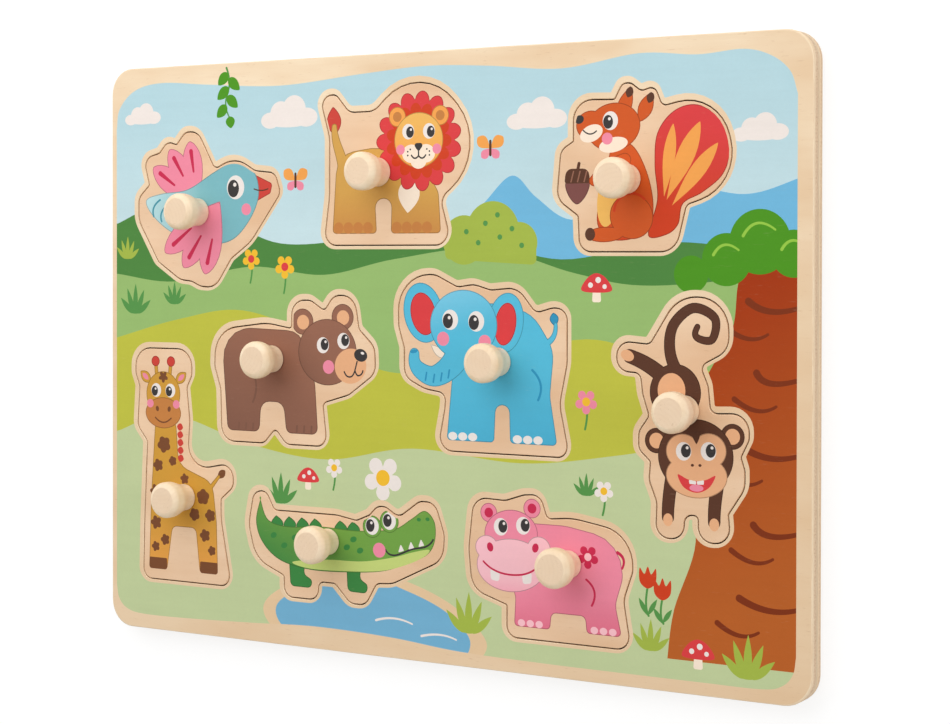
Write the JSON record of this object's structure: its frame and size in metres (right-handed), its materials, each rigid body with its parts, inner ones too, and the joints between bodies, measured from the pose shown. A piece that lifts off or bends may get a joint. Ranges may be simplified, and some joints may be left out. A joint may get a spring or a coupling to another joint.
{
  "type": "wooden peg puzzle",
  "caption": "Flat wooden peg puzzle: printed plywood panel on a base sheet, with sawn animal pieces that lift out of matching cut-outs by turned knobs.",
  "frame": {"origin": "middle of the board's underside, on the surface it lies on", "axes": "+X along the board's long side to the right of the picture, +Y towards the top of the picture, +Z out of the printed face"},
  "size_m": [0.3, 0.225, 0.0223],
  "materials": {
    "plywood": "bare sanded plywood",
    "printed_panel": "plywood with a printed meadow scene under clear satin varnish",
    "bird_print": "plywood with a printed bird under clear satin varnish",
    "lion_print": "plywood with a printed lion under clear satin varnish",
    "squirrel_print": "plywood with a printed squirrel under clear satin varnish",
    "bear_print": "plywood with a printed bear under clear satin varnish",
    "elephant_print": "plywood with a printed elephant under clear satin varnish",
    "monkey_print": "plywood with a printed monkey under clear satin varnish",
    "giraffe_print": "plywood with a printed giraffe under clear satin varnish",
    "crocodile_print": "plywood with a printed crocodile under clear satin varnish",
    "hippo_print": "plywood with a printed hippo under clear satin varnish",
    "turned_wood": "turned pale hardwood, lightly sealed",
    "zinc_steel": "zinc plated"
  },
  "bodies": {
    "board": {"base_sheet": "plywood", "recess_panel": "printed_panel"},
    "bird": {"bird_piece": "bird_print", "bird_knob": "turned_wood", "bird_screw": "zinc_steel"},
    "lion": {"lion_piece": "lion_print", "lion_knob": "turned_wood", "lion_screw": "zinc_steel"},
    "squirrel": {"squirrel_piece": "squirrel_print", "squirrel_knob": "turned_wood", "squirrel_screw": "zinc_steel"},
    "bear": {"bear_piece": "bear_print", "bear_knob": "turned_wood", "bear_screw": "zinc_steel"},
    "elephant": {"elephant_piece": "elephant_print", "elephant_knob": "turned_wood", "elephant_screw": "zinc_steel"},
    "monkey": {"monkey_piece": "monkey_print", "monkey_knob": "turned_wood", "monkey_screw": "zinc_steel"},
    "giraffe": {"giraffe_piece": "giraffe_print", "giraffe_knob": "turned_wood", "giraffe_screw": "zinc_steel"},
    "crocodile": {"crocodile_piece": "crocodile_print", "crocodile_knob": "turned_wood", "crocodile_screw": "zinc_steel"},
    "hippo": {"hippo_piece": "hippo_print", "hippo_knob": "turned_wood", "hippo_screw": "zinc_steel"}
  },
  "joints": [
    {"name": "bird_lift", "type": "slide", "parent": "board", "child": "bird", "axis": [0, 0, 1], "range_m": [0, 0.03]},
    {"name": "lion_lift", "type": "slide", "parent": "board", "child": "lion", "axis": [0, 0, 1], "range_m": [0, 0.03]},
    {"name": "squirrel_lift", "type": "slide", "parent": "board", "child": "squirrel", "axis": [0, 0, 1], "range_m": [0, 0.03]},
    {"name": "bear_lift", "type": "slide", "parent": "board", "child": "bear", "axis": [0, 0, 1], "range_m": [0, 0.03]},
    {"name": "elephant_lift", "type": "slide", "parent": "board", "child": "elephant", "axis": [0, 0, 1], "range_m": [0, 0.03]},
    {"name": "monkey_lift", "type": "slide", "parent": "board", "child": "monkey", "axis": [0, 0, 1], "range_m": [0, 0.03]},
    {"name": "giraffe_lift", "type": "slide", "parent": "board", "child": "giraffe", "axis": [0, 0, 1], "range_m": [0, 0.03]},
    {"name": "crocodile_lift", "type": "slide", "parent": "board", "child": "crocodile", "axis": [0, 0, 1], "range_m": [0, 0.03]},
    {"name": "hippo_lift", "type": "slide", "parent": "board", "child": "hippo", "axis": [0, 0, 1], "range_m": [0, 0.03]}
  ]
}
